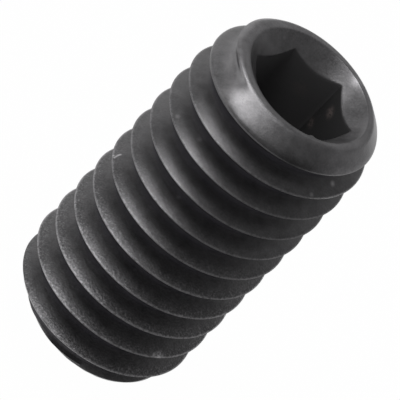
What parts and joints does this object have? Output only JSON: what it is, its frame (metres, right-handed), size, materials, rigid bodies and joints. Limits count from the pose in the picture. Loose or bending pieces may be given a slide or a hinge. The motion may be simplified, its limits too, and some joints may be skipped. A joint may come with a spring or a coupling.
{
  "type": "hex socket set screw",
  "caption": "Headless set screw with a right-hand metric thread along its whole length, a countersunk hex socket in one end and a cup point at the other; it locks one part on another.",
  "frame": {"origin": "centre of the cup rim, on the screw axis, at the plane that the screw stands on", "axes": "+Z along the screw axis from the cup point to the socket; the hex socket has a corner on +X"},
  "size_m": [0.006, 0.006, 0.012],
  "materials": {
    "black_steel": "black oxide, satin, worn grey on the crests"
  },
  "bodies": {
    "root": {"set_screw": "black_steel"}
  },
  "joints": []
}
